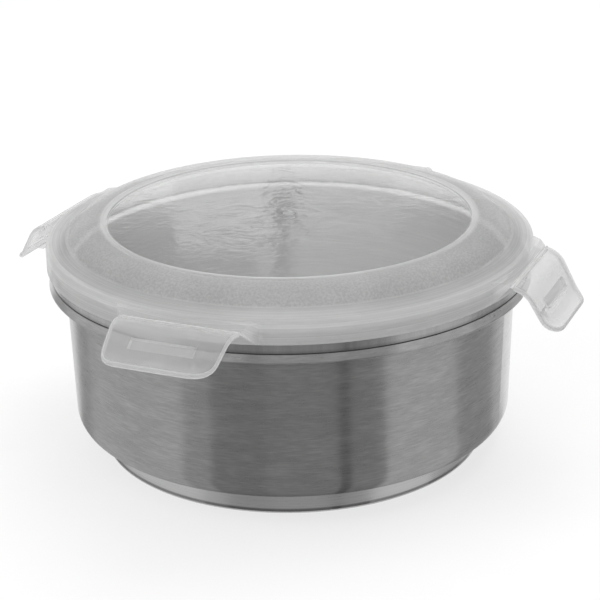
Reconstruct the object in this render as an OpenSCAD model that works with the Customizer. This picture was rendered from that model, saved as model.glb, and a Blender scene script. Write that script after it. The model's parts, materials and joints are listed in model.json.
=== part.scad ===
// Insulated stainless bowl with a translucent snap-lock lid, standing on its foot.
// The origin is the centre of the foot on the table, and +Z is up.
// The four flaps hang half open, as they do on a lid that is laid on but not locked.

/* [Bowl] */
// Height of the bowl, from the table to the top of its rolled rim
bowl_h = 76.5; // [60:0.5:110]
// Outer radius of the rolled rim
rim_r = 93; // [75:0.5:115]
// Height of the rim's upper band, from the seam to the top of the rim
rim_band_h = 5.3; // [5:0.1:6.5]
// Height of the lower band, which the outer shell turns up under the seam
lip_h = 4.1; // [3:0.1:5]
// How far the lower band flares outwards at its bottom edge
lip_flare = 1.5; // [0.8:0.1:1.8]
// How far the top of the brushed wall stands in from the rolled rim
wall_inset = 5.3; // [5:0.1:8]
// How much narrower the wall is at the bottom than at the top
wall_draft = 1.5; // [0:0.1:4]
// Rounding between the wall and the underside
corner_r = 6; // [3:0.5:8]
// Thickness of the shell's and the liner's sheet steel
sheet_t = 0.5; // [0.4:0.05:0.8]
// Air gap between the shell and the liner at the top of the wall
air_gap = 3.1; // [2:0.1:4]
// Height of the liner's floor above the table, inside the bowl
floor_z = 14; // [13:0.5:20]
// Rounding between the liner's wall and its floor
floor_corner_r = 16; // [8:0.5:22]
// How much narrower the liner is at its floor than at its mouth
liner_draft = 4; // [3:0.1:8]

/* [Foot] */
// How far the foot's upright edge stands in from the top of the wall
foot_inset = 12; // [9:0.1:16]
// Height of the foot's upright edge
foot_edge_h = 1.9; // [1.5:0.1:3]
// How far the neck, where the foot meets the shell, stands in from the foot's edge
neck_inset = 1.6; // [1.3:0.1:4]
// Height of the neck above the table
neck_z = 8; // [7:0.1:9]
// How much the underside rises from the neck to the wall
underside_rise = 3.8; // [2:0.1:6]
// Width of the ring that the foot stands on
foot_ring_w = 3; // [2.5:0.1:6]
// Height of the recess inside the foot ring
foot_recess = 2.4; // [1.5:0.1:4]
// Thickness of the base cap's sheet steel
cap_t = 0.7; // [0.6:0.05:1]

/* [Lid] */
// Wall thickness of the lid
lid_t = 1.3; // [1:0.05:1.5]
// Clearance between the lid's skirt and the rim
skirt_clear = 0.3; // [0.3:0.05:0.6]
// How far the skirt reaches down past the top of the rim
skirt_drop = 1.5; // [1:0.1:2.5]
// Height of the lid's outer edge above the top of the rim
ring_rise = 7.3; // [7:0.1:9]
// How much the flat outer ring rises towards the centre
ring_slope = 1.1; // [0.6:0.1:1.5]
// Width of the flat outer ring, out to the skirt
ring_w = 6.6; // [5:0.1:8]
// Width of the round bead that runs inside the flat ring
bead_w = 2.7; // [2:0.1:3.5]
// Height of the bead above the flat ring
bead_h = 0.9; // [0.4:0.1:1.2]
// Width of the frosted shoulder, from the bead to the ridge
shoulder_w = 11.6; // [9:0.1:14]
// Height of the shoulder above the bead
shoulder_h = 5.6; // [4:0.1:8]
// Rounding of the shoulder's outer edge
shoulder_r = 6; // [3:0.5:7]
// Width of the bright ridge around the clear window
ridge_w = 3.2; // [2:0.1:4]
// Height of the ridge above the clear window
ridge_h = 1; // [0.5:0.1:1.5]
// Radius of the moulding gate mark in the middle of the window
gate_r = 3.2; // [2:0.1:5]
// Height of the gate mark above the window
gate_h = 0.3; // [0.2:0.05:0.6]

/* [Gasket] */
// Width of the silicone gasket
gasket_w = 3.6; // [3:0.1:4]
// Height of the gasket between the rim and the lid
gasket_h = 5.2; // [4.5:0.1:5.4]
// Depth of the groove between the gasket's two sealing lips
gasket_groove = 1.4; // [0.8:0.1:2]
// Height of the ribs that hold the gasket
rib_h = 3.4; // [2.5:0.1:3.6]

/* [Flaps] */
// How far each flap's hinge line stands out from the lid's skirt
hinge_reach = 2.3; // [2:0.1:4]
// How much further each end of the hinge's tongue stands out where it leaves the skirt
land_flare = 4; // [2:0.1:6]
// Length of each hinge line
flap_w = 46.8; // [36:0.2:52]
// Width of a flap at its tip
flap_tip_w = 42.4; // [32:0.2:46]
// Thickness of a flap
flap_t = 1.8; // [1.4:0.1:2]
// Length of the straight stretch next to the hinge
flap_root_l = 2; // [1.5:0.1:4]
// Radius of the flap's outer bend
flap_bend_r = 10.3; // [8:0.1:12]
// Length of the straight leg between the two bends
flap_leg_l = 8.3; // [7:0.1:10]
// Radius of the bend that turns the tip outwards
flap_tip_r = 8.1; // [5:0.1:10]
// Length of the straight finger edge at the tip
flap_lip_l = 1.9; // [0.5:0.1:4]
// Rounding of the two lower corners
flap_corner_r = 9.2; // [4:0.1:11]
// Length of the hook rib, and of the groove in front of it
hook_w = 24; // [16:0.5:30]
// Height of the groove in the flap's outer face
groove_h = 3.6; // [2.5:0.1:4.5]
// Depth of the groove
groove_d = 0.8; // [0.4:0.1:1]
// How far the hook rib reaches in under the lower band when locked
hook_reach = 2.2; // [1:0.1:3]
// How far the right flap hangs open from its locked position, in degrees
open_right = 45; // [35:1:90]
// How far the back flap hangs open, in degrees
open_back = 71; // [35:1:90]
// How far the left flap hangs open, in degrees
open_left = 46; // [35:1:90]
// How far the front flap hangs open, in degrees
open_front = 71; // [35:1:90]

/* [Hidden] */
$fn = 180;

// Number of steps in each rounded corner of an outline
arc_steps = 12;
// Clearance between two pieces that are joined for good
weld_gap = 0.05;
// Overrun of a cut past the face that it opens
cut_over = 1;

// Rim and wall of the bowl
wall_r = rim_r - wall_inset;
mouth_r = wall_r - sheet_t - air_gap - sheet_t;
seam_z = bowl_h - rim_band_h;
seam_w = 0.5;
lip_r = rim_r + lip_flare;
lip_z = seam_z - lip_h;
lip_edge_r = 0.9;
ledge_drop = 0.6;
rim_outer_r = 2.5;
rim_inner_r = 2.5;
ledge_corner_r = 1.2;
neck_corner_r = 2;
seal_t = 0.9;
seal_h = 2.6;

// Foot
foot_r = wall_r - foot_inset;
neck_r = foot_r - neck_inset;
foot_edge_r = 0.9;
foot_flare_r = 1.2;
foot_top_z = neck_z - weld_gap;
foot_inner_r = foot_r - foot_ring_w;

// Lid
skirt_r = rim_r + skirt_clear + lid_t;
skirt_z = bowl_h - skirt_drop;
ring_z = bowl_h + ring_rise;
ring_in_r = skirt_r - ring_w;
ring_in_z = ring_z + ring_slope;
bead_in_r = ring_in_r - bead_w;
shoulder_top_z = ring_in_z + bead_h / 2 + shoulder_h;
shoulder_edge_share = 0.32;
shoulder_fall_share = 0.14;
ridge_out_r = bead_in_r - shoulder_w;
ridge_in_r = ridge_out_r - ridge_w;
window_z = shoulder_top_z - ridge_h / 2;
ring_edge_r = 2;
bead_edge_r = 0.8;
ridge_edge_r = 1;

// Gasket and its channel, over the flat of the rim
flat_in_r = mouth_r + rim_inner_r;
flat_out_r = rim_r - rim_outer_r;
gasket_mid_r = (flat_in_r + flat_out_r) / 2;
gasket_top_z = bowl_h + gasket_h;
rib_t = 1.1;
gasket_lip_w = gasket_w / 3;
gasket_edge_r = 0.4;
seat_over = lid_t / 2;

// Hinge line, and the sloping tongue that runs down to it from the lid's outer ring
web_r = 0.45;
web_gap = 0.06;
web_l = 0.8;
web_t = 0.4;
hinge_drop = 2.7;
hinge_u = skirt_r + hinge_reach;
hinge_z = ring_z - hinge_drop;
land_t = web_r + lid_t;
land_step = 0.6;
land_in_r = skirt_r - lid_t / 2;
land_rise = hinge_drop - land_step;
land_edge_u = hinge_u - web_l;
land_side_y = flap_w / 2 + land_flare;
land_side_u = sqrt(skirt_r * skirt_r - land_side_y * land_side_y);
hinge_play = 0.3;

// Flap, drawn in its locked position, with the hinge axis at the origin of its outline
root_angle = -63;
leg_angle = -105.5;
tip_angle = -63.5;
notch_angle = 240;
hook_clear = 0.6;
hook_t = 1.1;
hook_slope_h = 1.9;
groove_mid_share = 0.55;

function unit(v) = v / norm(v);
function toward(a) = [cos(a), sin(a)];
function reversed(p) = [for (i = [len(p) - 1:-1:0]) p[i]];

// Angle from a to b, taken the short way round
function short_turn(a, b) = (b - a + 540) % 360 - 180;

// Points of the arc of radius r that rounds the corner p1 between p0 and p2
function bend(p0, p1, p2, r) =
    let (d0 = unit(p0 - p1), d2 = unit(p2 - p1),
        half = acos(d0 * d2) / 2,
        centre = p1 + unit(d0 + d2) * r / sin(half),
        t0 = p1 + d0 * r / tan(half) - centre,
        t2 = p1 + d2 * r / tan(half) - centre,
        a0 = atan2(t0[1], t0[0]),
        turn = short_turn(a0, atan2(t2[1], t2[0])))
    [for (i = [0:arc_steps]) centre + r * toward(a0 + turn * i / arc_steps)];

// An outline through the corners, each inner one rounded to its own radius
function rounded(corners, radii) =
    let (last = len(corners) - 1)
    concat([corners[0]],
        [for (i = [1:last - 1]) each
            radii[i - 1] == 0 ? [corners[i]]
            : bend(corners[i - 1], corners[i], corners[i + 1], radii[i - 1])],
        [corners[last]]);

// The same outline moved to its right by t
function beside(p, t) =
    let (last = len(p) - 1,
        sides = [for (i = [0:last - 1]) let (d = unit(p[i + 1] - p[i])) [d[1], -d[0]]])
    [for (i = [0:last])
        let (n0 = sides[max(i - 1, 0)], n1 = sides[min(i, last - 1)], m = unit(n0 + n1))
        p[i] + m * t / (m * n0)];

// A strip of thickness t to the right of the outline
module strip(outline, t) {
    polygon(concat(outline, reversed(beside(outline, t))));
}

// A sheet of thickness t to the right of the outline, turned round the bowl's axis
module turned_sheet(outline, t) {
    rotate_extrude() strip(outline, t);
}

// A ring between two radii and two heights, with its edges broken by the radius edge
module turned_ring(r0, r1, z0, z1, edge) {
    rotate_extrude()
        translate([r0, z0])
            polygon([[edge, 0], [r1 - r0 - edge, 0], [r1 - r0, edge], [r1 - r0, z1 - z0 - edge],
                [r1 - r0 - edge, z1 - z0], [edge, z1 - z0], [0, z1 - z0 - edge], [0, edge]]);
}

// Outer face of the shell, from its turned-up lip down to the centre of its bottom
shell_outline = rounded(
    [[rim_r, seam_z - seam_w], [lip_r, lip_z], [wall_r, lip_z - ledge_drop],
        [wall_r - wall_draft, neck_z + underside_rise], [neck_r, neck_z], [0, neck_z]],
    [lip_edge_r, ledge_corner_r, corner_r, neck_corner_r]);

// Bright face of the liner, from its rolled edge over the rim and down to its floor
liner_outline = rounded(
    [[rim_r, seam_z], [rim_r, bowl_h], [mouth_r, bowl_h],
        [mouth_r - liner_draft, floor_z], [0, floor_z]],
    [rim_outer_r, rim_inner_r, floor_corner_r]);

// Outer face of the base cap, from the neck over the foot to the recessed centre
cap_outline = rounded(
    [[neck_r, foot_top_z], [foot_r, foot_edge_h], [foot_r, 0], [foot_inner_r, 0],
        [foot_inner_r - foot_recess / 2, foot_recess], [0, foot_recess]],
    [foot_flare_r, foot_edge_r, foot_edge_r, foot_edge_r]);

// Top face of the lid, from the window out to the bottom edge of the skirt
lid_outline = rounded(
    [[0, window_z], [ridge_in_r, window_z], [ridge_in_r + ridge_w / 2, window_z + ridge_h],
        [ridge_out_r, shoulder_top_z],
        [bead_in_r - shoulder_w * shoulder_edge_share, shoulder_top_z - shoulder_h * shoulder_fall_share],
        [bead_in_r, ring_in_z + bead_h / 2], [bead_in_r + bead_w / 2, ring_in_z + bead_h],
        [ring_in_r, ring_in_z], [skirt_r, ring_z], [skirt_r, skirt_z]],
    [ridge_edge_r, ridge_edge_r, ridge_edge_r, shoulder_r, bead_edge_r, bead_edge_r, bead_edge_r,
        ring_edge_r]);

// Outer face of a flap, from the hinge line to the finger edge
flap_start = web_r * toward(root_angle + 90);
flap_bend_from = flap_start + flap_root_l * toward(root_angle);
flap_bend_mid = flap_bend_from + flap_bend_r * toward(root_angle - 90);
flap_leg_from = flap_bend_mid + flap_bend_r * toward(leg_angle + 90);
flap_leg_to = flap_leg_from + flap_leg_l * toward(leg_angle);
flap_tip_mid = flap_leg_to + flap_tip_r * toward(leg_angle + 90);
flap_lip_from = flap_tip_mid + flap_tip_r * toward(tip_angle - 90);
flap_lip_to = flap_lip_from + flap_lip_l * toward(tip_angle);
flap_outline = concat([flap_start],
    [for (i = [0:arc_steps]) flap_bend_mid
        + flap_bend_r * toward(root_angle + 90 + (leg_angle - root_angle) * i / arc_steps)],
    [for (i = [0:arc_steps]) flap_tip_mid
        + flap_tip_r * toward(leg_angle - 90 + (tip_angle - leg_angle) * i / arc_steps)],
    [flap_lip_to]);
flap_h = -flap_lip_to[1];

// Where the hook rib stands: under the lower band, and past its edge by the reach
hook_z = lip_z - hinge_z - hook_clear;
hook_u = lip_r - hinge_u - hook_reach;

module outer_shell() {
    color("silver") turned_sheet(shell_outline, sheet_t);
}

module inner_liner() {
    color("gainsboro") turned_sheet(liner_outline, -sheet_t);
}

// The sealing ring behind the seam, which bears on the liner's edge and the shell's lip
module seam_seal() {
    color("dimgray")
        turned_ring(rim_r - sheet_t - weld_gap - seal_t, rim_r - sheet_t - weld_gap,
            seam_z - seam_w / 2 - seal_h / 2, seam_z - seam_w / 2 + seal_h / 2, seal_t / 4);
}

module base_cap() {
    color("lightgray") turned_sheet(cap_outline, cap_t);
}

// Extrudes a side view across the whole width of the tongue
module across_tongue() {
    rotate([90, 0, 0]) linear_extrude(height = 2 * land_side_y, center = true) children();
}

// The tongue that carries one hinge line: level with the ring, then sloping down to the web
module hinge_land() {
    under_z = web_r - land_t;
    intersection() {
        across_tongue()
            polygon([[0, land_rise], [land_in_r, land_rise], [land_edge_u, web_r],
                [land_edge_u, -web_t], [land_edge_u - (land_t - web_r - web_t), under_z], [0, under_z]]);
        translate([0, 0, under_z])
            linear_extrude(height = land_rise - under_z)
                polygon([[0, -land_side_y], [land_side_u, -land_side_y], [land_edge_u, -flap_w / 2],
                    [land_edge_u, flap_w / 2], [land_side_u, land_side_y], [0, land_side_y]]);
    }
}

// The two cheeks that close the tongue's ends, from under it down to the skirt's bottom edge
module hinge_cheeks() {
    foot_z = skirt_z - hinge_z;
    top_u = land_edge_u - (land_t - web_r - web_t);
    intersection() {
        across_tongue()
            polygon([[0, 0], [top_u, 0], [top_u, web_r - land_t], [land_side_u, foot_z], [0, foot_z]]);
        translate([0, 0, foot_z])
            linear_extrude(height = -foot_z)
                for (side = [0, 1])
                    mirror([0, side])
                        strip([[land_side_u, land_side_y], [land_edge_u, flap_w / 2]], lid_t);
    }
}

// Two ribs under the ring, and the flat seat between them for the gasket
module gasket_channel() {
    top = ring_in_z - lid_t + seat_over;
    in_r = gasket_mid_r - gasket_w / 2 - weld_gap;
    out_r = gasket_mid_r + gasket_w / 2 + weld_gap;
    rotate_extrude()
        polygon([[in_r - rib_t, gasket_top_z - rib_h], [in_r, gasket_top_z - rib_h],
            [in_r, gasket_top_z], [out_r, gasket_top_z], [out_r, gasket_top_z - rib_h],
            [out_r + rib_t, gasket_top_z - rib_h], [out_r + rib_t, ring_z - lid_t / 2],
            [ring_in_r, top], [in_r - rib_t, top]]);
}

module lid() {
    color("whitesmoke", 0.6) {
        turned_sheet(lid_outline, lid_t);
        gasket_channel();
        translate([0, 0, window_z - lid_t / 2]) cylinder(r = gate_r, h = lid_t / 2 + gate_h);
        difference() {
            for (a = [0:90:270])
                rotate([0, 0, a])
                    translate([0, 0, hinge_z]) {
                        hinge_land();
                        hinge_cheeks();
                    }
            translate([0, 0, skirt_z - cut_over])
                cylinder(r = land_in_r, h = ring_z - skirt_z + 2 * cut_over);
        }
    }
}

// The gasket, with two sealing lips that bear on the flat of the rim
module gasket() {
    in_r = gasket_mid_r - gasket_w / 2;
    out_r = gasket_mid_r + gasket_w / 2;
    color("snow")
        rotate_extrude()
            polygon([[in_r, bowl_h], [in_r + gasket_lip_w, bowl_h],
                [gasket_mid_r, bowl_h + gasket_groove], [out_r - gasket_lip_w, bowl_h],
                [out_r, bowl_h], [out_r, gasket_top_z - gasket_edge_r],
                [out_r - gasket_edge_r, gasket_top_z], [in_r + gasket_edge_r, gasket_top_z],
                [in_r, gasket_top_z - gasket_edge_r]]);
}

// Puts a piece that is drawn on the +X side at the hinge line of the side at angle a
module at_hinge(a) {
    rotate([0, 0, a]) translate([hinge_u, 0, hinge_z]) children();
}

// The thin web that bends: a round bead on the hinge axis and a tab to the lid's tongue
module hinge_web(a) {
    color("whitesmoke", 0.6)
        at_hinge(a)
            rotate([90, 0, 0])
                linear_extrude(height = flap_w - 2 * hinge_play, center = true)
                    union() {
                        circle(r = web_r, $fn = 32);
                        translate([-web_l, -web_t]) square([web_l, web_t]);
                    }
}

// Side view of a flap, without its hook
module flap_side() {
    difference() {
        strip(flap_outline, flap_t);
        circle(r = web_r + web_gap, $fn = 32);
        polygon([[0, 0], 2 * flap_t * toward(notch_angle), 2 * flap_t * toward(notch_angle - 90)]);
    }
}

// Side view of the hook rib, from the middle of the flap's leg inwards
module hook_side() {
    leg_u = flap_leg_to[0] - flap_t / 2;
    polygon([[leg_u, hook_z], [hook_u, hook_z], [hook_u, hook_z - hook_t],
        [leg_u, hook_z - hook_t - hook_slope_h]]);
}

// Side view of the groove in the outer face of the leg
module groove_side() {
    mid = flap_leg_from + (flap_leg_to - flap_leg_from) * groove_mid_share;
    translate(mid) rotate(leg_angle)
        translate([-groove_h / 2, -groove_d]) square([groove_h, groove_d + cut_over]);
}

// Front view of a flap: a little narrower at the tip, with two round corners
module flap_front_view() {
    top_w = flap_w / 2;
    tip_w = flap_tip_w / 2;
    side = unit([tip_w - top_w, -flap_h]);
    out = [-side[1], side[0]];
    corner_y = flap_corner_r - flap_h;
    side_x = top_w + (tip_w - top_w) * (web_r - corner_y) / (flap_h + web_r);
    corner_x = side_x - flap_corner_r / out[0];
    touch = [corner_x, corner_y] + out * flap_corner_r;
    polygon([[-top_w, web_r], [-touch[0], touch[1]], [-corner_x, -flap_h],
        [corner_x, -flap_h], touch, [top_w, web_r]]);
    for (x = [-corner_x, corner_x]) translate([x, corner_y]) circle(r = flap_corner_r, $fn = 64);
}

// One flap on the side at angle a, hanging open by the angle open
module flap(a, open) {
    reach = flap_h + web_r;
    color("whitesmoke", 0.6)
        at_hinge(a)
            rotate([0, -open, 0])
                intersection() {
                    rotate([90, 0, 90])
                        translate([0, 0, -reach]) linear_extrude(height = 2 * reach) flap_front_view();
                    rotate([90, 0, 0])
                        difference() {
                            union() {
                                linear_extrude(height = flap_w, center = true) flap_side();
                                linear_extrude(height = hook_w, center = true) hook_side();
                            }
                            linear_extrude(height = hook_w, center = true) groove_side();
                        }
                }
}

outer_shell();
inner_liner();
seam_seal();
base_cap();
lid();
gasket();
hinge_web(0);  // hinge_web_right
hinge_web(90);  // hinge_web_back
hinge_web(180);  // hinge_web_left
hinge_web(270);  // hinge_web_front
flap(0, open_right);  // flap_right
flap(90, open_back);  // flap_back
flap(180, open_left);  // flap_left
flap(270, open_front);  // flap_front
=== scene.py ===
"""Looks for the insulated stainless bowl with its translucent snap-lock lid."""
import json
import math

import bpy
from mathutils import Matrix, Vector


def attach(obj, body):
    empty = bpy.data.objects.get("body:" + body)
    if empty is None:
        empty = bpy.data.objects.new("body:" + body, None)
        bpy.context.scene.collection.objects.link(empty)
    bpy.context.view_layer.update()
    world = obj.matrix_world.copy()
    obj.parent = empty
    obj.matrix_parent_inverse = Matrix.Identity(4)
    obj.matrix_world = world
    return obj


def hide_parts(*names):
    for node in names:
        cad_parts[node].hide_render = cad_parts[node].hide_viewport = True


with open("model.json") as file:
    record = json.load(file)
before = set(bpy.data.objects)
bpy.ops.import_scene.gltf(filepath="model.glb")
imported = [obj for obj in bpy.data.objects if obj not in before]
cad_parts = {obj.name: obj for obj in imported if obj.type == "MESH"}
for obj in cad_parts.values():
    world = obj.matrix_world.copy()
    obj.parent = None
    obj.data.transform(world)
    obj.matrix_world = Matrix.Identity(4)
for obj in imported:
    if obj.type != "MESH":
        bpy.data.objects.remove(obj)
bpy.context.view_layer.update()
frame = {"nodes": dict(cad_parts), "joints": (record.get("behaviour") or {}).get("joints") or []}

# Places on the bowl, in metres
SEAM_Z = 0.0712
WALL_R = 0.0877
FOOT_R = 0.0757
# Where one look turns into the next, from and to, in metres: heights on the foot, where its upright edge,
# darkened as painted shade, meets its slope, paler steel lightened as painted light, and above the seam,
# where painted shade fades out
FOOT_SHADE_EDGE = (0.0019, 0.0024)
SEAM_SHADE_EDGE = (SEAM_Z, 0.0726)
# The same as radii, on the liner and then on the lid
MOUTH_EDGE = (0.0836, 0.0861)
GATE_EDGE = (0.0020, 0.0032)
WAVES_EDGE = (0.0200, 0.0550)
WINDOW_EDGE = (0.0701, 0.0711)
RIDGE_EDGE = (0.0727, 0.0743)
RING_EDGE = (0.0853, 0.0873)

# Most of a noise lies between these two values
NOISE_RANGE = (0.3, 0.7)
# The brushed wall: the share of broad marks among fine ones, and the range of both that changes its tone
BROAD_SHARE = 0.4
BRUSHING_RANGE = (0.38, 0.72)
# Thin plastic: how rough its body is, the share of the body that light comes through, and its gloss, which
# is least when seen straight on and grows as a power of the slant
BODY_ROUGH = 0.6
THROUGH_SHARE = 0.75
LEAST_GLOSS = 0.04
GLOSS_POWER = 5.0
# The lid's relief: its scale in metres, and how high the frosting and the window's waves stand in it
LID_RELIEF = 0.0001
FROSTING_HEIGHT = 0.12
WAVES_HEIGHT = 2.4
WHITE = (1.0, 1.0, 1.0, 1.0)


class Nodes:
    """Adds shader nodes to a tree."""

    def __init__(self, tree):
        self.tree = tree

    def add(self, kind, inputs=None, **settings):
        """A node with its settings, and its inputs linked or set."""
        node = self.tree.nodes.new(kind)
        for name, value in settings.items():
            setattr(node, name, value)
        for name, value in (inputs or {}).items():
            self.put(node.inputs[name], value)
        return node

    def put(self, socket, value):
        """Links another node's output to the socket, or sets a plain value on it."""
        if isinstance(value, bpy.types.NodeSocket):
            self.tree.links.new(value, socket)
        else:
            socket.default_value = value

    def math(self, operation, a, b):
        return self.add("ShaderNodeMath", {0: a, 1: b}, operation=operation).outputs[0]

    def blend(self, factor, a, b):
        """From a to b as the factor goes from 0 to 1."""
        return self.math("ADD", a, self.math("MULTIPLY", factor, self.math("SUBTRACT", b, a)))

    def ramp(self, value, low, high, to_low, to_high, smooth=True):
        """The value moved from one range to another, held at its ends."""
        inputs = {"Value": value, "From Min": low, "From Max": high, "To Min": to_low, "To Max": to_high}
        shape = "SMOOTHSTEP" if smooth else "LINEAR"
        return self.add("ShaderNodeMapRange", inputs, interpolation_type=shape).outputs[0]

    def backdrop(self):
        """1 for a ray that shows the white background: from the camera, or in metal or glass."""
        path = self.add("ShaderNodeLightPath").outputs
        seen = self.math("MAXIMUM", path["Is Camera Ray"], path["Is Glossy Ray"])
        return self.math("MAXIMUM", seen, path["Is Transmission Ray"])


class Look(Nodes):
    """The nodes of one new material."""

    def __init__(self, name):
        self.material = bpy.data.materials.new(name)
        self.material.use_nodes = True
        super().__init__(self.material.node_tree)
        self.tree.nodes.clear()
        self.place = self.add("ShaderNodeTexCoord").outputs["Object"]

    def noise(self, vector, detail=3.0, roughness=0.6, distortion=0.0):
        inputs = {"Vector": vector, "Scale": 1.0, "Detail": detail, "Roughness": roughness,
                  "Distortion": distortion}
        return self.add("ShaderNodeTexNoise", inputs).outputs["Fac"]

    def marks(self, level, upright, **settings):
        """Noise with this many marks to a metre along the level, and this many upright."""
        inputs = {"Vector": self.place, "Scale": (level, level, upright)}
        return self.noise(self.add("ShaderNodeMapping", inputs).outputs[0], **settings)

    def rings(self, distance, per_metre):
        """Fine lines that follow a distance, with this many of them to a metre."""
        along = self.add("ShaderNodeCombineXYZ", {"X": self.math("MULTIPLY", distance, per_metre)})
        return self.noise(along.outputs[0])

    def vary(self, noise, low, high, smooth=True):
        """From low to high over most of the noise's range."""
        return self.ramp(noise, *NOISE_RANGE, low, high, smooth)

    def radius(self):
        """Distance from the bowl's axis."""
        flat = self.add("ShaderNodeVectorMath", {0: self.place, 1: (1.0, 1.0, 0.0)}, operation="MULTIPLY")
        return self.add("ShaderNodeVectorMath", {0: flat.outputs[0]}, operation="LENGTH").outputs["Value"]

    def height(self):
        return self.add("ShaderNodeSeparateXYZ", {0: self.place}).outputs["Z"]

    def grey(self, value):
        return self.add("ShaderNodeCombineColor", {0: value, 1: value, 2: value}).outputs[0]

    def bump(self, height, distance, strength=1.0):
        inputs = {"Height": height, "Distance": distance, "Strength": strength}
        return self.add("ShaderNodeBump", inputs).outputs[0]

    def principled(self, **inputs):
        named = {name.replace("_", " "): value for name, value in inputs.items()}
        return self.add("ShaderNodeBsdfPrincipled", named)

    def mix(self, factor, first, second):
        """A Mix Shader from the first shader to the second."""
        return self.add("ShaderNodeMixShader", {0: factor, 1: first.outputs[0], 2: second.outputs[0]})

    def show(self, shader):
        """Ends the material with this shader."""
        output = self.add("ShaderNodeOutputMaterial")
        self.tree.links.new(shader.outputs[0], output.inputs["Surface"])
        return self.material

    def steel(self, tone, rough, normal, **inputs):
        """The material of bare steel with this grey."""
        return self.show(self.principled(Base_Color=self.grey(tone), Metallic=1.0, Roughness=rough,
                                         Normal=normal, **inputs))

    def sheer(self, tone, opacity, rough, normal, polish):
        """The material of thin plastic: what is behind it, its own pale body and a gloss on top."""
        colour = self.grey(tone)
        front = self.principled(Base_Color=colour, Roughness=BODY_ROUGH, Specular_IOR_Level=0.0,
                                Normal=normal)
        through = self.add("ShaderNodeBsdfTranslucent", {"Color": colour, "Normal": normal})
        body = self.mix(THROUGH_SHARE, front, through)
        clear = self.mix(opacity, self.add("ShaderNodeBsdfTransparent"), body)
        facing = self.add("ShaderNodeLayerWeight", {"Blend": 0.5, "Normal": normal}).outputs["Facing"]
        gloss = self.blend(self.math("POWER", facing, GLOSS_POWER), LEAST_GLOSS, 1.0)
        shine = self.add("ShaderNodeBsdfGlossy", {"Roughness": rough, "Normal": normal})
        return self.show(self.mix(self.math("MULTIPLY", gloss, polish), clear, shine))


def brushed_steel():
    """The outer shell: short brushing marks that run round the bowl."""
    look = Look("brushed_steel")
    grain = look.blend(BROAD_SHARE, look.marks(190.0, 1900.0), look.marks(60.0, 240.0))
    tone = look.ramp(grain, *BRUSHING_RANGE, 0.44, 0.58)
    rough = look.vary(grain, 0.26, 0.32, smooth=False)
    tangent = look.add("ShaderNodeTangent", direction_type="RADIAL", axis="Z").outputs[0]
    return look.steel(tone, rough, look.bump(grain, distance=0.00001, strength=0.3),
                      Anisotropic=0.9, Anisotropic_Rotation=0.25, Tangent=tangent)


def polished_steel():
    """The liner and its rolled rim: polished, with faint drawing lines, and with painted shade darkening the
    rim next to the seam.
    """
    look = Look("polished_steel")
    drawn = look.marks(420.0, 30.0)
    turned = look.marks(30.0, 1800.0)
    rim = look.ramp(look.radius(), *MOUTH_EDGE, 0.0, 1.0)
    lines = look.blend(rim, turned, drawn)
    inside = look.vary(lines, 0.64, 0.74, smooth=False)
    rolled = look.vary(lines, 0.52, 0.60, smooth=False)
    # Painted shade: the rolled rim darkens towards the seam's crevice.
    seam_shade = look.ramp(look.height(), *SEAM_SHADE_EDGE, 0.70, 1.0)
    tone = look.blend(rim, inside, look.math("MULTIPLY", rolled, seam_shade))
    rough = look.blend(rim, look.vary(lines, 0.32, 0.40), look.vary(lines, 0.20, 0.26))
    return look.steel(tone, rough, look.bump(lines, distance=0.00002, strength=0.3))


def satin_steel():
    """The foot: pale satin steel with fine rings; its upright edge is darkened as painted shade, and its
    slope lightened as painted light.
    """
    look = Look("satin_steel")
    turned = look.marks(40.0, 3600.0)
    # Painted light and shade: the slope is steel made paler as painted light, the upright edge darker as
    # painted shade.
    pale = look.vary(turned, 0.68, 0.78, smooth=False)
    shaded_edge = look.vary(turned, 0.50, 0.58, smooth=False)
    tone = look.blend(look.ramp(look.height(), *FOOT_SHADE_EDGE, 0.0, 1.0), shaded_edge, pale)
    rough = look.vary(turned, 0.26, 0.36, smooth=False)
    return look.steel(tone, rough, look.bump(turned, distance=0.00002, strength=0.3))


def lid_plastic():
    """The lid: a clear wavy window with its gate mark, a ridge painted whiter as a highlight, and frosted
    rings.
    """
    look = Look("frosted_plastic")
    r = look.radius()
    gate = look.ramp(r, *GATE_EDGE, 1.0, 0.0)
    frost = look.ramp(r, *WINDOW_EDGE, 0.0, 1.0)
    ridge = look.math("MULTIPLY", frost, look.ramp(r, *RIDGE_EDGE, 1.0, 0.0))
    ring = look.ramp(r, *RING_EDGE, 0.0, 1.0)
    grain = look.marks(1300.0, 1300.0, detail=2.0, roughness=0.5)
    flow = look.marks(45.0, 45.0, detail=2.0, roughness=0.5)
    lines = look.rings(look.math("SUBTRACT", r, look.height()), 1400.0)
    ripple = look.marks(110.0, 110.0, detail=2.0, roughness=0.45, distortion=1.2)

    tone = look.blend(ring, look.vary(grain, 0.72, 0.88), look.vary(lines, 0.71, 0.89))
    # Painted highlight: the ridge is whiter than the frosted rings, and more opaque below.
    tone = look.blend(gate, look.blend(ridge, tone, 0.94), 0.90)
    clear = look.blend(gate, 0.03, 0.38)
    frosted = look.math("ADD", look.vary(flow, 0.53, 0.59), look.math("MULTIPLY", ridge, 0.14))
    rough = look.blend(frost, 0.06, look.blend(ridge, look.blend(ring, 0.5, 0.4), 0.3))
    waved = look.math("MULTIPLY", ripple, look.ramp(r, *WAVES_EDGE, 1.0, 0.35))
    waves = look.math("MULTIPLY", look.math("SUBTRACT", 1.0, frost), waved)
    frosting = look.math("MULTIPLY", look.math("SUBTRACT", frost, look.math("MAXIMUM", ring, ridge)), grain)
    height = look.math("ADD", look.math("MULTIPLY", frosting, FROSTING_HEIGHT),
                       look.math("MULTIPLY", waves, WAVES_HEIGHT))
    return look.sheer(tone, look.blend(frost, clear, frosted), rough, look.bump(height, LID_RELIEF),
                      polish=look.blend(frost, 1.0, 0.25))


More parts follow.
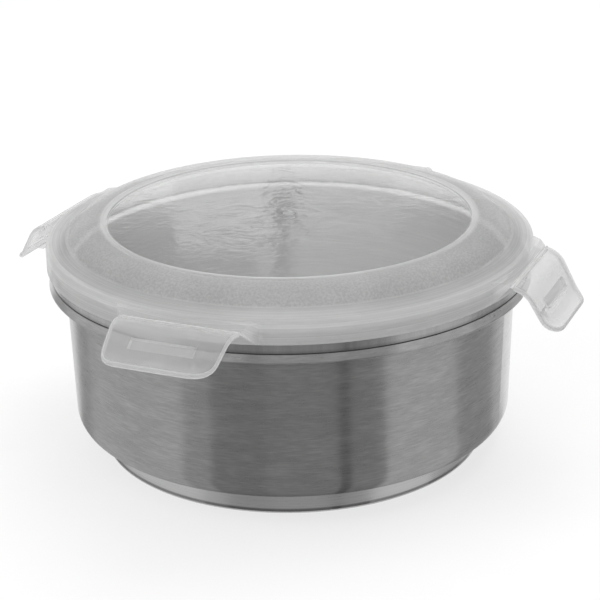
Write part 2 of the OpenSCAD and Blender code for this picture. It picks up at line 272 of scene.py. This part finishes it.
def flap_plastic():
    """The flaps: smooth translucent plastic with faint flow marks, and painted highlights, whiter and more
    opaque, along its edges, its groove and the hinge crease.
    """
    look = Look("flap_plastic")
    marked = look.add("ShaderNodeAttribute", attribute_name=EDGE_NAME).outputs["Fac"]
    # Painted highlight: edges and the groove are whiter and more opaque, and the hinge crease whiter still.
    edge = look.ramp(marked, 0.0, EDGE, 0.0, 1.0, smooth=False)
    crease = look.ramp(marked, EDGE, CREASE, 0.0, 1.0, smooth=False)
    flow = look.marks(60.0, 60.0, detail=2.0, roughness=0.5)
    tone = look.blend(edge, look.vary(flow, 0.72, 0.76), 0.76)
    tone = look.blend(crease, tone, 0.85)
    opacity = look.blend(edge, look.vary(flow, 0.32, 0.36), 0.85)
    rough = look.vary(flow, 0.20, 0.26)
    return look.sheer(tone, opacity, rough, look.bump(flow, distance=0.0001, strength=0.3), polish=0.8)


def hinge_plastic():
    """The living hinges: the same plastic, painted whiter and more opaque as the highlight along the hinge.
    """
    look = Look("hinge_plastic")
    crease = look.marks(300.0, 300.0, detail=2.0, roughness=0.5)
    # Painted highlight: the hinge is whiter and more opaque than the flaps.
    tone = look.vary(crease, 0.80, 0.88)
    opacity = look.vary(crease, 0.90, 0.95)
    return look.sheer(tone, opacity, 0.35, look.bump(crease, distance=0.00001, strength=0.3), polish=0.8)


def silicone():
    """The gasket: soft silicone that lets light through."""
    look = Look("silicone")
    dust = look.marks(3000.0, 3000.0)
    tone = look.vary(dust, 0.78, 0.88)
    opacity = look.vary(dust, 0.55, 0.65)
    return look.sheer(tone, opacity, 0.5, look.bump(dust, distance=0.00002, strength=0.3), polish=0.4)


def seam_sealant():
    """The sealing ring in the seam: dark and matte."""
    look = Look("seam_sealant")
    tone = look.vary(look.marks(2600.0, 2600.0), 0.08, 0.12)
    return look.show(look.principled(Base_Color=look.grey(tone), Roughness=0.7))


# What each face of a flap carries for its painted highlight: 0 where it is plain, and these where it is
# painted whiter
EDGE_NAME = "edge"
GROOVE_FLOOR = 0.6
EDGE = 1.0
CREASE = 2.0
# A flap as it is moulded, in metres, hanging locked from the hinge axis
FLAP_T = 0.0018
FLAP_ROOT_W = 0.0468
FLAP_TIP_W = 0.0424
FLAP_CORNER_R = 0.0092
EDGE_R = FLAP_T / 2
CREASE_L = 0.001
HINGE_BEAD_R = 0.00045
HINGE_BORE_R = 0.00051
ROOT_TURN = math.radians(-63.0)
LEG_TURN = math.radians(-105.5)
TIP_TURN = math.radians(-63.5)
ROOT_L = 0.0020
LEG_L = 0.0083
TIP_L = 0.0013
ROOT_BEND_R = 0.0103
TIP_BEND_R = 0.0081
# The straight and curved runs of its outer face, from the hinge down: length, and direction at each end
FLAP_RUNS = ((ROOT_L, ROOT_TURN, ROOT_TURN),
             (ROOT_BEND_R * (ROOT_TURN - LEG_TURN), ROOT_TURN, LEG_TURN),
             (LEG_L, LEG_TURN, LEG_TURN),
             (TIP_BEND_R * (TIP_TURN - LEG_TURN), LEG_TURN, TIP_TURN),
             (TIP_L, TIP_TURN, TIP_TURN))
FLAP_L = sum(run[0] for run in FLAP_RUNS)
# Where the outer and the inner face begin beside the hinge's bead, and the direction of the relief there
OUTER_START = 0.00024
INNER_START = 0.00088
RELIEF_TURN = math.radians(240.0)
# The hook rib and the groove: their half width, the run of the steps beside them, and where they are along
# the outer face
HOOK_HALF_W = 0.012
STEP_RUN = 0.0005
GROOVE_FROM = 0.0124
GROOVE_TO = 0.0160
GROOVE_D = 0.0008
HOOK_FROM = 0.0159
# The rib's side view: distance from its start, and height
HOOK_SHAPE = ((0.0, 0.0), (0.00087, 0.0031), (0.00193, 0.0028), (0.0031, 0.0))
# Even rows of the mesh, and how near they may come to a row that the shape needs
ROW_STEP = 0.001
ROW_GAP = 0.4 * ROW_STEP
# Columns on each side of the middle: this many over the hook, one where its step ends, and as many beyond
COLUMN_STEPS = 4
# The faces between them, counted from one side, on the groove's floor, and on its floor and walls
FLOOR_FACES = range(COLUMN_STEPS + 1, 3 * COLUMN_STEPS + 1)
GROOVE_FACES = range(COLUMN_STEPS, 3 * COLUMN_STEPS + 2)
# Steps round the corners of the tip, the rounded edge and the bore, and the least angle of a sharp edge
CORNER_STEPS = 10
EDGE_STEPS = 6
BORE_STEPS = 8
SHARP_TURN = math.radians(40.0)


def along_flap(distance):
    """The outer face at this distance from the hinge: how far out and up it is, and its direction."""
    out = HINGE_BEAD_R * math.cos(ROOT_TURN + math.pi / 2)
    up = HINGE_BEAD_R * math.sin(ROOT_TURN + math.pi / 2)
    for number, (length, first, last) in enumerate(FLAP_RUNS):
        step = distance if number == len(FLAP_RUNS) - 1 else min(distance, length)
        turn = first + (last - first) * step / length
        if first == last:
            out += step * math.cos(first)
            up += step * math.sin(first)
        else:
            radius = length / (last - first)
            out += radius * (math.sin(turn) - math.sin(first))
            up -= radius * (math.cos(turn) - math.cos(first))
        distance -= step
        if distance <= 0:
            break
    return out, up, turn


def flap_half_width(distance):
    """Half of the width at this distance from the hinge, inside the rounded edge."""
    lean = math.atan((FLAP_ROOT_W - FLAP_TIP_W) / 2 / FLAP_L)
    corner_at = FLAP_L - FLAP_CORNER_R
    radius = FLAP_CORNER_R - EDGE_R
    if distance < corner_at + radius * math.sin(lean):
        return FLAP_ROOT_W / 2 - distance * math.tan(lean) - EDGE_R / math.cos(lean)
    corner_w = FLAP_ROOT_W / 2 - corner_at * math.tan(lean) - FLAP_CORNER_R / math.cos(lean)
    return corner_w + math.sqrt(max(0.0, radius ** 2 - (distance - corner_at) ** 2))


def flap_rows():
    """Distances from the hinge where the mesh has a row, closer together where the shape turns."""
    corner_at = FLAP_L - FLAP_CORNER_R
    marks = [OUTER_START, CREASE_L, GROOVE_FROM - STEP_RUN, GROOVE_FROM, GROOVE_TO, GROOVE_TO + STEP_RUN]
    marks += [HOOK_FROM + along for along, rise in HOOK_SHAPE[1:]]
    for i in range(1, CORNER_STEPS + 1):
        marks.append(corner_at + (FLAP_CORNER_R - EDGE_R) * math.sin(math.pi / 2 * i / CORNER_STEPS))
    steps = [i * ROW_STEP for i in range(1, int(corner_at / ROW_STEP) + 1)]
    spread = [step for step in steps if all(abs(step - mark) > ROW_GAP for mark in marks)]
    return sorted(marks + spread)


def flap_columns(half):
    """Places across the flap, each with whether it is on the stretch that has the hook."""
    fit = min(1.0, half / (HOOK_HALF_W + 2 * STEP_RUN))
    step_at = (HOOK_HALF_W + STEP_RUN) * fit
    steps = range(1, COLUMN_STEPS + 1)
    right = [(HOOK_HALF_W * fit * i / COLUMN_STEPS, True) for i in steps] + [(step_at, False)]
    right += [(step_at + (half - step_at) * i / COLUMN_STEPS, False) for i in steps]
    return [(-across, hooked) for across, hooked in reversed(right)] + [(0.0, True)] + right


def hook_rise(distance):
    """Height of the hook rib above the inner face."""
    for (start, low), (end, high) in zip(HOOK_SHAPE, HOOK_SHAPE[1:]):
        if start <= distance - HOOK_FROM <= end:
            return low + (high - low) * (distance - HOOK_FROM - start) / (end - start)
    return 0.0


def groove_fall(distance):
    """Depth of the groove in the outer face."""
    return GROOVE_D if GROOVE_FROM <= distance <= GROOVE_TO else 0.0


def outer_mark(distance, column):
    """How much painted highlight the outer face gets here: on the crease at the hinge, and on the groove's
    floor and walls.
    """
    if distance < CREASE_L:
        return CREASE
    if GROOVE_FROM < distance < GROOVE_TO and column in FLOOR_FACES:
        return GROOVE_FLOOR
    if GROOVE_FROM - STEP_RUN < distance < GROOVE_TO + STEP_RUN and column in GROOVE_FACES:
        return EDGE
    return 0.0


def add_object(name, data):
    """Puts new data into the scene as an object."""
    thing = bpy.data.objects.new(name, data)
    bpy.context.collection.objects.link(thing)
    return thing


def mesh_object(name, points, faces, material):
    """A new mesh of one material, in the scene."""
    mesh = bpy.data.meshes.new(name)
    mesh.from_pydata(points, [], faces)
    mesh.update()
    mesh.materials.append(material)
    return add_object(name, mesh)


class FlapMesh:
    """Builds one flap as a closed shell with a rounded edge, at its place and angle."""

    def __init__(self, joint):
        self.hinge = Vector(joint["pos_m"])
        self.outward = Vector((self.hinge.x, self.hinge.y, 0)).normalized()
        self.across = Vector((-self.outward.y, self.outward.x, 0))
        self.open = -math.radians(joint["range_deg"][0])
        self.points = []
        self.faces = []
        self.edge = []

    def point(self, out, up, across):
        """Adds a point of the side view, turned open about the hinge. Returns its number."""
        far = out * math.cos(self.open) - up * math.sin(self.open)
        high = out * math.sin(self.open) + up * math.cos(self.open)
        self.points.append(self.hinge + self.outward * far + Vector((0, 0, high)) + self.across * across)
        return len(self.points) - 1

    def surface(self, distance, across, depth, push=(0.0, 0.0)):
        """Adds a point at a depth under the outer face, pushed across and along it."""
        out, up, turn = along_flap(distance)
        out += depth * math.sin(turn) + push[1] * math.cos(turn)
        up += -depth * math.cos(turn) + push[1] * math.sin(turn)
        return self.point(out, up, across + push[0])

    def face(self, corners, edge):
        self.faces.append(corners)
        self.edge.append(edge)

    def grid(self, rows, flip, mark):
        """Faces between rows. The mark gives each face its edge value from its row and column."""
        for row, (above, below) in enumerate(zip(rows, rows[1:])):
            for i in range(len(above) - 1):
                corners = [above[i], above[i + 1], below[i + 1], below[i]]
                self.face(corners[::-1] if flip else corners, mark(row, i))

    def build(self, name, material):
        rows = flap_rows()
        outer, inner, places = [], [], []
        for number, distance in enumerate(rows):
            columns = flap_columns(flap_half_width(distance))
            inside = INNER_START if number == 0 else distance
            outer.append([self.surface(distance, across, groove_fall(distance) if hooked else 0.0)
                          for across, hooked in columns])
            inner.append([self.surface(inside, across, FLAP_T + (hook_rise(distance) if hooked else 0.0))
                          for across, hooked in columns])
            places.append([(across, distance, inside) for across, hooked in columns])
        centres = [(above[0][1] + below[0][1]) / 2 for above, below in zip(places, places[1:])]
        # Each face gets its painted highlight mark: the hinge crease and the groove on the outer face, the
        # crease on the inner one.
        self.grid(outer, False, lambda row, i: outer_mark(centres[row], i))
        self.grid(inner, True, lambda row, i: CREASE if centres[row] < CREASE_L else 0.0)
        first, last = self.rim(outer, inner, places)
        self.root(outer[0], inner[0], places[0], first, last)
        return self.finish(name, material)

    def rim(self, outer, inner, places):
        """Joins the two faces round the sides and the tip. Returns the edges at its two ends."""
        border = [(row, 0) for row in range(len(outer))]
        border += [(len(outer) - 1, i) for i in range(1, len(outer[0]))]
        border += [(row, len(outer[0]) - 1) for row in range(len(outer) - 2, -1, -1)]
        flat = [Vector(places[row][i][:2]) for row, i in border]
        strips = []
        for k, (row, i) in enumerate(border):
            ahead = flat[min(k + 1, len(flat) - 1)] - flat[max(k - 1, 0)]
            normal = Vector((-ahead.y, ahead.x)).normalized()
            across, distance, inside = places[row][i]
            strip = [outer[row][i]]
            for step in range(1, EDGE_STEPS):
                turn = math.pi * step / EDGE_STEPS
                deep = (1 - math.cos(turn)) / 2
                strip.append(self.surface(distance + (inside - distance) * deep, across, FLAP_T * deep,
                                          normal * EDGE_R * math.sin(turn)))
            strips.append(strip + [inner[row][i]])
        # The rounded edge's faces get the edge's painted highlight mark.
        for near, far in zip(strips, strips[1:]):
            for step in range(EDGE_STEPS):
                self.face([near[step], near[step + 1], far[step + 1], far[step]][::-1], EDGE)
        return strips[0], strips[-1]

    def root(self, outer, inner, places, first, last):
        """Closes the hinge end round the bore that turns on the hinge's bead."""
        bore = []
        for step in range(BORE_STEPS):
            turn = RELIEF_TURN + (2 * math.pi - RELIEF_TURN) * step / BORE_STEPS
            bore.append([self.point(HINGE_BORE_R * math.cos(turn), HINGE_BORE_R * math.sin(turn), across)
                         for across, distance, inside in places])
        # The bore carries the hinge crease's painted highlight mark, and the ends of the root the edge's.
        self.grid([inner] + bore + [outer], True, lambda row, i: CREASE)
        self.face(first + [row[0] for row in bore], EDGE)
        self.face((last + [row[-1] for row in bore])[::-1], EDGE)

    def finish(self, name, material):
        piece = mesh_object(name, self.points, self.faces, material)
        mesh = piece.data
        mesh.validate()
        edge = mesh.attributes.new(EDGE_NAME, "FLOAT", "FACE")
        edge.data.foreach_set("value", self.edge)
        mesh.shade_smooth()
        mesh.set_sharp_from_angle(angle=SHARP_TURN)
        return piece


def make_flaps(material):
    """Gives each flap a moulding with rounded edges, whose body and CAD node share the flap's name."""
    for joint in frame["joints"]:
        if joint["type"] != "hinge":
            continue
        flap = joint["child"]
        piece = FlapMesh(joint).build(flap + "_moulding", material)
        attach(piece, flap)
        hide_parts(flap)


def dress(node, material):
    """Gives a CAD node its material."""
    piece = frame["nodes"][node]
    piece.data.materials.clear()
    piece.data.materials.append(material)


def dress_all():
    dress("outer_shell", brushed_steel())
    dress("inner_liner", polished_steel())
    dress("base_cap", satin_steel())
    dress("seam_seal", seam_sealant())
    dress("gasket", silicone())
    dress("lid", lid_plastic())
    hinge = hinge_plastic()
    for side in ("right", "back", "left", "front"):
        dress("hinge_web_" + side, hinge)
    make_flaps(flap_plastic())


# Camera, fitted to the ellipses of the photograph
VIEW_AZIMUTH = math.radians(23.6)
VIEW_ELEVATION = math.radians(20.2)
VIEW_DISTANCE = 0.6918
VIEW_ROLL = math.radians(-1.17)
VIEW_LENS = 105.67
VIEW_SHIFT = (0.0167, -0.0663)
VIEW_CLIP = 0.01


def towards(azimuth, elevation):
    """Unit vector from the object, with azimuth 0 on the front flap's side."""
    return Vector((math.sin(azimuth) * math.cos(elevation), -math.cos(azimuth) * math.cos(elevation),
                   math.sin(elevation)))


def face_bowl(thing, back, distance):
    """Puts a camera or lamp at a distance from the middle of the seam, turned to face it."""
    thing.location = Vector((0, 0, SEAM_Z)) + back * distance
    thing.rotation_mode = "QUATERNION"
    thing.rotation_quaternion = (-back).to_track_quat("-Z", "Y")


def make_camera():
    data = bpy.data.cameras.new("camera")
    camera = add_object("camera", data)
    face_bowl(camera, towards(VIEW_AZIMUTH, VIEW_ELEVATION), VIEW_DISTANCE)
    roll = Matrix.Rotation(VIEW_ROLL, 3, "Z").to_quaternion()
    camera.rotation_quaternion = camera.rotation_quaternion @ roll
    data.lens = VIEW_LENS
    data.shift_x, data.shift_y = VIEW_SHIFT
    data.clip_start = VIEW_CLIP
    bpy.context.scene.camera = camera


# The floor's half width, and the share of plain white in what shows of it
FLOOR_R = 6.0
FLOOR_WHITE_SHARE = 0.7
# Strength of the white world as light, and where it shows
WORLD_LIGHT = 0.75
WORLD_SHOWN = 1.0
# Lamps: degrees right of the camera, degrees up, distance and size in metres, and power in watts
LAMPS = {"top": (150.0, 72.0, 1.6, 1.2, 14.0), "left": (-70.0, 40.0, 1.8, 0.8, 6.0)}
# Cards that run out along the floor from the foot, and then bend up
CARD_IN_R = FOOT_R + 0.0004
CARD_LIFT = 0.0006
CARD_RUN = 0.32
CARD_BEND_R = 0.15
CARD_TOP_Z = 0.8
BEND_STEPS = 8
CARD_DEGREES = 3.0
# They are darkest beside the foot, as painted shade round it, and lose that from one radius to another, and
# go from their low grey to their high one between two heights
CARD_SHADE = 0.5
CARD_SHADE_R = (CARD_IN_R + 0.002, CARD_IN_R + 0.008)
CARD_GREY_Z = (0.03, 0.12)
# Cards round the bowl that its steel reflects: the stretch of wall that shows each one, in degrees right of
# the camera, then the card's grey near the floor and higher up
CARDS = ((-80.0, -67.0, 1.00, 1.10), (-67.0, -58.0, 0.42, 0.60), (-58.0, -26.0, 0.59, 0.69),
         (-26.0, -19.0, 0.42, 0.55), (-19.0, -6.0, 0.26, 0.42), (-6.0, 10.5, 0.29, 0.47),
         (10.5, 13.0, 0.14, 0.40), (13.0, 21.5, 0.29, 0.45), (21.5, 42.0, 0.60, 0.70),
         (42.0, 57.0, 0.37, 0.55), (57.0, 64.0, 0.62, 0.70), (64.0, 80.0, 1.15, 1.15))
# Flat cards behind the bowl, for its far side: the same angles, and each card's grey
BACK_CARDS = ((80.0, 112.0, 0.62), (112.0, 140.0, 0.40), (140.0, 163.0, 0.66), (163.0, 168.0, 0.22),
              (168.0, 205.0, 0.42), (205.0, 232.0, 0.68), (232.0, 258.0, 0.44), (258.0, 280.0, 0.70))
BACK_CARD_R = 0.45
BACK_CARD_LIFT = 0.0003
# Panels behind the bowl that its window reflects, as a window in the room would show there: distance,
# left and right side, lowest and highest point, and grey
PANELS = ((0.80, -0.100, -0.014, 0.336, 0.392, 1.5), (0.80, 0.000, 0.092, 0.336, 0.386, 1.2),
          (0.79, -0.015, 0.006, 0.334, 0.355, 0.3), (0.82, -0.013, 0.000, 0.336, 0.500, 0.6),
          (0.80, -0.100, 0.092, 0.300, 0.336, 1.5), (0.80, -0.180, -0.100, 0.300, 0.352, 1.8),
          (0.80, 0.092, 0.180, 0.300, 0.352, 1.6), (0.84, -0.260, -0.030, 0.392, 0.900, 0.75),
          (0.86, -0.260, 0.260, 0.100, 0.900, 1.0))


def make_floor():
    """A pale floor. Most of what shows of it is plain white, and the rest keeps the shadow."""
    look = Look("floor")
    tone = look.vary(look.marks(30.0, 30.0, roughness=0.5), 0.86, 0.88)
    lit = look.principled(Base_Color=look.grey(tone), Roughness=0.9, Specular_IOR_Level=0.0)
    white = look.add("ShaderNodeEmission", {"Color": WHITE})
    shader = look.mix(look.math("MULTIPLY", look.backdrop(), FLOOR_WHITE_SHARE), lit, white)
    corners = [(-FLOOR_R, -FLOOR_R, 0), (FLOOR_R, -FLOOR_R, 0), (FLOOR_R, FLOOR_R, 0), (-FLOOR_R, FLOOR_R, 0)]
    mesh_object("floor", corners, [(0, 1, 2, 3)], look.show(shader))


def make_reflected(name, points, faces, low, high):
    """A glowing card that only reflections show, with one grey near the floor and one higher up."""
    look = Look(name)
    shade = look.ramp(look.radius(), *CARD_SHADE_R, CARD_SHADE, 1.0)
    tone = look.math("MULTIPLY", shade, look.ramp(look.height(), *CARD_GREY_Z, low, high))
    glow = look.add("ShaderNodeEmission", {"Color": look.grey(tone)})
    card = mesh_object(name, points, faces, look.show(glow))
    card.visible_camera = False
    card.visible_diffuse = False
    card.visible_transmission = False
    card.visible_shadow = False


def card_rib(side):
    """Points along the floor and up, where the camera sees the wall at this angle reflect."""
    normal = towards(VIEW_AZIMUTH + side, 0.0)
    eye = towards(VIEW_AZIMUTH, 0.0) * VIEW_DISTANCE * math.cos(VIEW_ELEVATION)
    seen = (eye - normal * WALL_R).normalized()
    out = 2 * normal * seen.dot(normal) - seen
    section = [(0.0, 0.0), (CARD_RUN / 2, 0.0), (CARD_RUN, 0.0)]
    for i in range(1, BEND_STEPS + 1):
        turn = math.pi / 2 * i / BEND_STEPS
        section.append((CARD_RUN + CARD_BEND_R * math.sin(turn), CARD_BEND_R * (1 - math.cos(turn))))
    section.append((CARD_RUN + CARD_BEND_R, CARD_TOP_Z))
    start = normal * CARD_IN_R
    return [tuple(start + out * run + Vector((0, 0, CARD_LIFT + rise))) for run, rise in section]


def back_rib(side):
    """The two ends of a line on the floor, straight out from the bowl."""
    out = towards(VIEW_AZIMUTH + side, 0.0)
    return [tuple(out * distance + Vector((0, 0, BACK_CARD_LIFT))) for distance in (CARD_IN_R, BACK_CARD_R)]


def make_card(name, rib, start, end, low, high):
    """A card swept from one angle to another."""
    steps = max(1, round((end - start) / CARD_DEGREES))
    ribs = [rib(math.radians(start + (end - start) * i / steps)) for i in range(steps + 1)]
    rows = len(ribs[0])
    faces = [(i * rows + k, (i + 1) * rows + k, (i + 1) * rows + k + 1, i * rows + k + 1)
             for i in range(steps) for k in range(rows - 1)]
    make_reflected(name, [point for rib in ribs for point in rib], faces, low, high)


def make_cards():
    """Cards and panels round the bowl, as in a studio, that only its reflections show."""
    for number, (start, end, low, high) in enumerate(CARDS):
        make_card("card_%d" % number, card_rib, start, end, low, high)
    for number, (start, end, tone) in enumerate(BACK_CARDS):
        make_card("back_card_%d" % number, back_rib, start, end, tone, tone)
    ahead = -towards(VIEW_AZIMUTH, 0.0)
    rightward = Vector((ahead.y, -ahead.x, 0.0))
    for number, (distance, left, right, bottom, top, tone) in enumerate(PANELS):
        points = [tuple(ahead * distance + rightward * side + Vector((0, 0, z)))
                  for side, z in ((left, bottom), (right, bottom), (right, top), (left, top))]
        make_reflected("panel_%d" % number, points, [(0, 1, 2, 3)], tone, tone)


def make_world():
    """An even white room, a little dimmer as light than where it shows."""
    world = bpy.data.worlds.new("studio")
    bpy.context.scene.world = world
    world.use_nodes = True
    nodes = Nodes(world.node_tree)
    background = nodes.tree.nodes["Background"].inputs
    nodes.put(background["Color"], WHITE)
    nodes.put(background["Strength"],
              nodes.ramp(nodes.backdrop(), 0.0, 1.0, WORLD_LIGHT, WORLD_SHOWN, smooth=False))


def make_lamp(name, azimuth, elevation, distance, size, power):
    data = bpy.data.lights.new(name, "AREA")
    data.size = size
    data.energy = power
    lamp = add_object(name, data)
    lamp.visible_glossy = False
    face_bowl(lamp, towards(VIEW_AZIMUTH + math.radians(azimuth), math.radians(elevation)), distance)


def make_studio():
    make_world()
    for name, settings in LAMPS.items():
        make_lamp(name, *settings)
    make_floor()
    make_cards()
    bpy.context.scene.view_settings.view_transform = "Standard"


make_camera()
dress_all()
make_studio()
